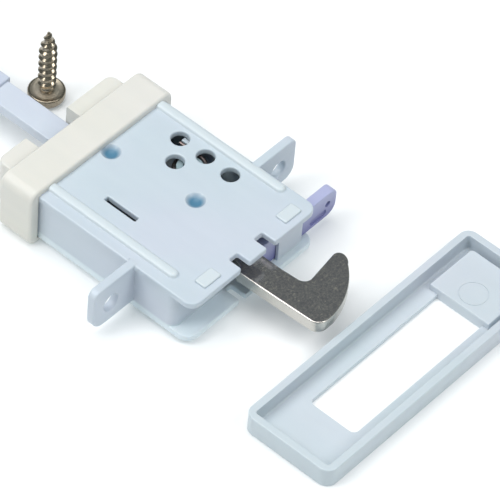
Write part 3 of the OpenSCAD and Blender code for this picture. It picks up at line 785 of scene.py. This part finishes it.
def bar_and_grip():
    low, high = corners_of("pull_bar")
    bar_rear = low.x
    bar_low, bar_high = BAR_Y - BAR_HALF, BAR_Y + BAR_HALF
    tab_x = COIL[0] + COIL_R + 0.45             # the return coil's moving leg rests on this tab
    link_z = corners_of("link_plate")[0].z
    edge, tab_edge = 0.25, 0.2
    bar = join(
        slab([rectangle((low.x, bar_low), (high.x, bar_high), 0.4)], BAR_BOTTOM, BAR_TOP, edge, edge),
        slab([rectangle((LINK_REAR, bar_low + SKIN), (LINK_FRONT, bar_high - SKIN), 0.3)], -0.3, link_z),
        slab(
            [rectangle((tab_x, bar_high - 1), (high.x - 0.5, high.y), 0.3)],
            BAR_BOTTOM + SKIN, BAR_TOP - SKIN, tab_edge, tab_edge,
        ),
    )
    depth = 3
    cut(
        bar,
        *[post((x, BAR_Y), RIVET_R, -depth, depth) for x in RIVET_XS],
        post(GRIP_PIN, GRIP_PIN_R, -depth, depth),
    )
    piece("bar", bar, "bar_plastic", "pull_bar", "pull_bar")

    low, high = corners_of("bar_grip")
    half, edge, eye_r, depth = (high.y - low.y) / 2, 0.35, 2.1, 5
    end = (low.x + half, BAR_Y)
    shape = [(high.x, low.y), (high.x, high.y)] + arc(end, half, 90, 270, 28)
    grip = slab([shape, circle(end, eye_r)], low.z, high.z, edge, edge)
    cut(
        grip,
        block((bar_rear, bar_low, BAR_BOTTOM), (high.x + OVER, bar_high, BAR_TOP)),
        post(GRIP_PIN, GRIP_PIN_R, -depth, depth),
    )
    piece("grip", grip, "grip_plastic", "pull_bar", "bar_grip")
    low, high = corners_of("grip_pin")
    rivet = post(GRIP_PIN, GRIP_PIN_R, low.z, high.z, 0.12)
    piece("grip_rivet", rivet, "pin_steel", "pull_bar", "grip_pin")


def crank_link():
    """Plate riveted on the bar, whose cross slot takes the crank pin, and its two rivets."""
    low, high = corners_of("link_plate")
    half, edge = 2.75, 0.12
    arm_start, arm_width = (-7.6, BAR_Y - 0.4), 4.6
    plate = rectangle((LINK_REAR, BAR_Y - half), (LINK_FRONT, BAR_Y + half), 0.5)
    body = join(
        slab([plate], low.z, high.z, edge, edge),
        arm(arm_start, CRANK, arm_width, low.z, high.z, edge),
    )
    x, y = 1.3, 1.55
    slot = rectangle((CRANK[0] - x, CRANK[1] - y), (CRANK[0] + x, CRANK[1] + y), 0.15)
    cut(
        body,
        *[post((x, BAR_Y), RIVET_R, low.z - OVER, high.z + OVER) for x in RIVET_XS],
        slab([slot], low.z - OVER, high.z + OVER),
    )
    piece("crank_link", body, "link_steel", "pull_bar", "link_plate")

    low, high = corners_of("link_rivets")
    head, head_r, middle = 0.6, 1.8, 0.01
    lower = [
        (middle, low.z), (1.2, low.z), (1.65, low.z + 0.15), (head_r, low.z + head - 0.1),
        (head_r, low.z + head), (RIVET_R, low.z + head),
    ]
    upper = [
        (RIVET_R, high.z - head), (head_r, high.z - head), (head_r, high.z - head + 0.1),
        (1.65, high.z - 0.15), (1.2, high.z), (middle, high.z),
    ]
    rivets = [lathe((x, BAR_Y), lower + upper, 40) for x in RIVET_XS]
    piece("bar_rivets", join(*rivets), "pin_steel", "pull_bar", "link_rivets")


# ---------------------------------------------------------------- push lever

def push_lever():
    """Upright plate with a lug for its coil, a nose cut on the slant, an eye and a shallow recess."""
    low, high = corners_of("release_lever")
    thick, nose, slant = 2.45, low.y, math.tan(math.radians(24))
    rear, face, behind = high.x - thick, high.x + SKIN, high.x - thick - 1
    shape = outline((nose, low.z), (high.y, low.z, 2.8), (high.y, high.z, 1.8), (nose, high.z))
    body = join(
        slab([shape], rear, high.x, 0.2, 0.25, along="x"),
        block((low.x, 14, low.z), (rear + 0.3, 15.6, -1.2)),
    )
    wedge = [
        (face, nose), (behind, nose + (thick + 1) * slant), (behind, nose - OVER), (face, nose - OVER)
    ]
    flare = -0.15
    eye = circle((high.y - 2.7, low.z + 3.77), 0.75, 32)
    recess = rectangle((21, low.z + 1), (26, low.z + 2.75), 0.7)
    cut(
        body,
        slab([wedge], low.z - OVER, high.z + OVER),
        slab([eye], behind, high.x, 0, flare, along="x"),
        slab([recess], high.x - 0.4, high.x, 0.25, flare, along="x"),
    )
    piece("push_lever", body, "lever_plastic", "release_lever", "release_lever")


# ---------------------------------------------------------------- springs

def swept(path, radius, sides=14):
    """Round wire along a path of points, with its ring turned as little as possible at each step."""
    points = [Vector(p) for p in path]
    ways = []
    for k in range(len(points)):
        ways.append((points[min(k + 1, len(points) - 1)] - points[max(k - 1, 0)]).normalized())
    side = ways[0].orthogonal().normalized()
    rings = []
    for point, way in zip(points, ways):
        side = (side - way * side.dot(way)).normalized()
        over = way.cross(side)
        rings.append([
            point + (side * math.cos(a) + over * math.sin(a)) * radius
            for a in (2 * math.pi * i / sides for i in range(sides))
        ])
    return tube_of_rings(rings)


def torsion_spring():
    """Coil on the bobbin, with one leg on the bar's tab and one on the housing's rib."""
    low, high = corners_of("return_spring")
    pitch, turns, steps, wire_r = 0.9, 4.25, 40, 0.4
    coil = []
    for i in range(int(turns * steps) + 1):
        angle = 2 * math.pi * i / steps
        x, y = COIL[0] + COIL_R * math.cos(angle), COIL[1] + COIL_R * math.sin(angle)
        coil.append((x, y, pitch * i / steps))
    first, last = coil[0], coil[-1]
    moving_steps, fixed_steps = 12, 8
    path = [
        (first[0], low.y + k * (first[1] - 0.3 - low.y) / moving_steps, 0) for k in range(moving_steps + 1)
    ]
    path += coil
    path += [
        (last[0] + k * (low.x - last[0]) / fixed_steps, last[1], last[2]) for k in range(1, fixed_steps + 1)
    ]
    wire = swept(path, wire_r)
    spring = piece("return_coil", wire, "spring_steel", None, "return_spring", sharp=60)
    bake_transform(spring)


def lever_coil():
    low, high = corners_of("lever_spring")
    wire, turns, steps, wire_sides = 0.35, 6, 28, 10
    middle_x, middle_z = (low.x + high.x) / 2, (low.z + high.z) / 2
    mean_r = (high.x - low.x - wire) / 2
    travel, crowding = high.y - low.y - wire, 1 / 9    # crowding draws the end turns together
    path = []
    for i in range(turns * steps + 1):
        t = i / (turns * steps)
        angle = 2 * math.pi * i / steps
        along = travel * (t - crowding * math.sin(2 * math.pi * t))
        path.append((
            middle_x + mean_r * math.cos(angle),
            low.y + wire / 2 + along,
            middle_z - mean_r * math.sin(angle),
        ))
    coil = swept(path, wire / 2, wire_sides)
    spring = piece("lever_return_coil", coil, "spring_steel", "housing", "lever_spring", sharp=60)
    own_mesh(spring)


# ---------------------------------------------------------------- trim frame

def trim():
    """Shallow tray with a window, a raised pad beyond it and a fine ring moulded into the pad."""
    low, high = corners_of("trim_frame")
    rim, floor_t, corner_r, edge, window_r = 1.7, 1.2, 2.5, 0.25, 1.4
    pad_top, pad_edge = low.z + 2.8, 3.5
    x0, x1, y0, y1 = low.x + 5.7, low.x + 17.7, low.y + 13.8, low.y + 53.8
    window = outline((x0, y0, window_r), (x1, y0, window_r), (x1, y1), (x0, y1))
    body = slab([rectangle((low.x, low.y), (high.x, high.y), corner_r)], low.z, high.z, edge, edge)
    cavity = rectangle((low.x + rim, low.y + rim), (high.x - rim, high.y - rim), 0.6)
    cut(body, slab([cavity], low.z + floor_t, high.z, 0.45, -0.15))
    pad_x0, pad_x1, pad_y1 = low.x + pad_edge, high.x - pad_edge, high.y - 2.5
    pad = outline((pad_x0, y1), (pad_x1, y1), (pad_x1, pad_y1, 1), (pad_x0, pad_y1, 1))
    join(body, slab([pad], low.z + 0.8, pad_top, 0, 0.3))
    mark, outer_r, inner_r, mark_depth = (low.x + 11.7, y1 + 4.2), 3.2, 3.0, 0.1
    cut(
        body,
        slab([window], low.z - OVER, low.z + 4),
        slab([circle(mark, outer_r, 64), circle(mark, inner_r, 64)], pad_top - mark_depth, pad_top + OVER),
    )
    piece("trim", body, "trim_plastic", "trim_frame", "trim_frame")


# ---------------------------------------------------------------- screw

def screw():
    """Pan head on its crown, with a sharp thread wound along grid lines that follow its helix."""
    low, high = corners_of("fixing_screw")
    centre = ((low.x + high.x) / 2, (low.y + high.y) / 2)
    head_r, head_h, dome = (high.x - low.x) / 2, 2.8, 1.6
    face = low.z + head_h
    length, pitch, outer, core, taper = high.z - face, 1.9, 2.0, 1.4, 5.0
    sides, rows = 48, 14                        # round the shank, and along each turn of the thread
    flank, run_in_height = 3.4, 1.2             # how steep the thread's flanks are, and where it starts
    blunt, fullness = 0.04, 0.62                # radius left at the tip, and how round its taper is
    near, weld = 0.002, 0.003                   # what counts as on the bearing face, and as one point
    bm = bmesh.new()

    def point(radius, angle, z):
        x, y = centre[0] + radius * math.cos(angle), centre[1] + radius * math.sin(angle)
        return bm.verts.new(Vector((x, y, z)) * MM)

    def turn(i):
        return 2 * math.pi * i / sides

    profile = [(0.4, low.z), (1.6, low.z)]
    profile += [(head_r - dome + x, low.z + dome + y) for x, y in arc((0, 0), dome, -90, 0, 9)]
    profile += [
        (head_r, face - 0.4), (head_r - 0.1, face - 0.12), (head_r - 0.3, face), (head_r - 0.55, face),
        (head_r - 0.75, face - 0.22), (core + 1.2, face - 0.24), (core + 0.3, face),
    ]
    rings = [[point(radius, turn(i), z) for i in range(sides)] for radius, z in profile]
    bm.faces.new(rings[0][::-1])
    for lower, upper in zip(rings, rings[1:]):
        for i in range(sides):
            j = (i + 1) % sides
            bm.faces.new((lower[i], lower[j], upper[j], upper[i]))

    def narrowing(z):
        """Share of the full radius that is left near the tip."""
        left = min(1.0, max(0.0, (length - z) / taper))
        return blunt + (1 - blunt) * left ** fullness

    def shank(row, i):
        """Point of the helical grid: row counts along the thread, i round it."""
        climb = (row / rows + i / sides) * pitch
        z = min(length, max(0.0, climb))
        crest = max(0.0, 1 - abs((row % rows) / rows - 0.5) * flank)
        run_in = min(1.0, max(0.0, climb / run_in_height))
        return point((core + (outer - core) * crest * run_in) * narrowing(z), turn(i), face + z)

    last = math.ceil(length / pitch * rows)
    grid = {(row, i): shank(row, i) for row in range(-rows, last + 1) for i in range(sides)}
    for row in range(-rows, last):
        for i in range(sides):
            corners = [(row, i), (row, i + 1), (row + 1, i + 1), (row + 1, i)]
            corners = [(r + rows, 0) if k == sides else (r, k) for r, k in corners]
            if all(corner in grid for corner in corners):
                bm.faces.new([grid[corner] for corner in corners])
    bmesh.ops.remove_doubles(bm, verts=bm.verts, dist=weld * MM)
    bmesh.ops.dissolve_degenerate(bm, edges=bm.edges, dist=SLIVER_MM * MM)

    # The head and the shank are joined across the bearing face, and then the tip is closed.
    def on_face(vert):
        return abs(vert.co.z / MM - face) < near

    def on_core(vert):
        away = math.hypot(vert.co.x / MM - centre[0], vert.co.y / MM - centre[1])
        return on_face(vert) and abs(away - core) < 0.02

    inner_edges = [e for e in bm.edges if e.is_boundary and all(on_core(v) for v in e.verts)]
    outer_edges = [
        e for e in bm.edges if e.is_boundary and e not in inner_edges and on_face(e.verts[0])
    ]
    bmesh.ops.bridge_loops(bm, edges=inner_edges + outer_edges)
    bmesh.ops.holes_fill(bm, edges=[e for e in bm.edges if e.is_boundary], sides=0)
    body = scratch(bm)

    recess = 1.6
    cross = [
        block((centre[0] - x, centre[1] - y, low.z - OVER), (centre[0] + x, centre[1] + y, low.z + recess))
        for x, y in ((2.1, 0.55), (0.55, 2.1))
    ]
    cut(body, *cross)
    made = piece("screw", body, "screw_steel", "fixing_screw", "fixing_screw", sharp=50)

    def on_bearing_face(place):
        away = math.dist(place[:2], centre)
        return face - 0.35 < place.z < face + 0.02 and core + 0.1 < away < head_r - 0.6

    # The bearing face takes the matter material, whose lighter colour is painted highlight.
    second_material(made, "screw_face", lambda polygon: on_bearing_face(polygon.center / MM))


housing_base()
housing_cover()
rear_cap()
bar_guide_block()
stop_block()
small_hardware()
latch_hook()
bar_and_grip()
crank_link()
push_lever()
torsion_spring()
lever_coil()
trim()
screw()


# ---------------------------------------------------------------- camera, light and floor

CAMERA = {"azimuth": 37.70, "elevation": 48.33, "roll": 5.30, "distance": 918.06 * MM, "lens": 324.0}
SENSOR = 36
AIM = Vector((10.49, 4.76, 0)) * MM
LIGHT_DISTANCE, LIGHT_TINT = 0.9, (1, 0.99, 0.985)


def camera_axes():
    """Right, up and back directions of the camera."""
    az, el, roll = (math.radians(CAMERA[k]) for k in ("azimuth", "elevation", "roll"))
    back = Vector((math.sin(az) * math.cos(el), -math.cos(az) * math.cos(el), math.sin(el)))
    right = Vector((math.cos(az), math.sin(az), 0))
    up = back.cross(right)
    return (
        right * math.cos(roll) + up * math.sin(roll),
        up * math.cos(roll) - right * math.sin(roll),
        back,
    )


def add_camera():
    right, up, back = camera_axes()
    data = bpy.data.cameras.new("camera")
    data.lens = CAMERA["lens"]
    data.sensor_width = SENSOR
    data.clip_start, data.clip_end = 0.05, 20
    camera = bpy.data.objects.new("camera", data)
    bpy.context.scene.collection.objects.link(camera)
    turned = Matrix((right, up, back)).transposed().to_4x4()
    camera.matrix_world = Matrix.Translation(AIM + back * CAMERA["distance"]) @ turned
    bpy.context.scene.camera = camera


def softbox(name, direction, side, power):
    """Square light that faces the aim from that direction."""
    data = bpy.data.lights.new(name, "AREA")
    data.shape = "RECTANGLE"
    data.size = data.size_y = side
    data.energy = power
    data.color = LIGHT_TINT
    light = bpy.data.objects.new(name, data)
    bpy.context.scene.collection.objects.link(light)
    direction = Vector(direction).normalized()
    light.location = AIM + direction * LIGHT_DISTANCE
    light.rotation_mode = "QUATERNION"
    light.rotation_quaternion = direction.to_track_quat("Z", "Y")


def add_lights():
    az = math.radians(CAMERA["azimuth"])
    right = Vector((math.cos(az), math.sin(az), 0))
    toward = Vector((math.sin(az), -math.cos(az), 0))
    up = Vector((0, 0, 1))
    softbox("key", up - right * 0.2, 0.8, 5.9)
    softbox("left", up + toward * 0.35 - right * 0.9, 0.35, 2.2)
    softbox("right", up + toward * 0.35 + right * 0.85, 0.35, 2.3)
    world = bpy.data.worlds.new("studio")
    bpy.context.scene.world = world
    world.use_nodes = True
    background = world.node_tree.nodes["Background"]
    background.inputs["Color"].default_value = (0.84, 0.96, 1.0, 1)
    background.inputs["Strength"].default_value = 0.27


def add_floor():
    """Wide pale floor just under the lowest point, which belongs to the collar."""
    half, gap = 3.0, 0.02 * MM
    mesh = bpy.data.meshes.new("studio_floor")
    corners = [(-half, -half, 0), (half, -half, 0), (half, half, 0), (-half, half, 0)]
    mesh.from_pydata(corners, [], [(0, 1, 2, 3)])
    floor = bpy.data.objects.new("studio_floor", mesh)
    bpy.context.scene.collection.objects.link(floor)
    floor.location.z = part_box("rear_collar")[0].z - gap
    n = Nodes("pale_floor")
    n.set(Base_Color=(0.78, 0.78, 0.78, 1), Roughness=0.9, Specular_IOR_Level=0.1)
    n.set(Emission_Color=(0.88, 0.97, 1, 1), Emission_Strength=0.2)
    mesh.materials.append(n.material)


add_camera()
add_lights()
add_floor()
bpy.context.scene.view_settings.view_transform = "Standard"
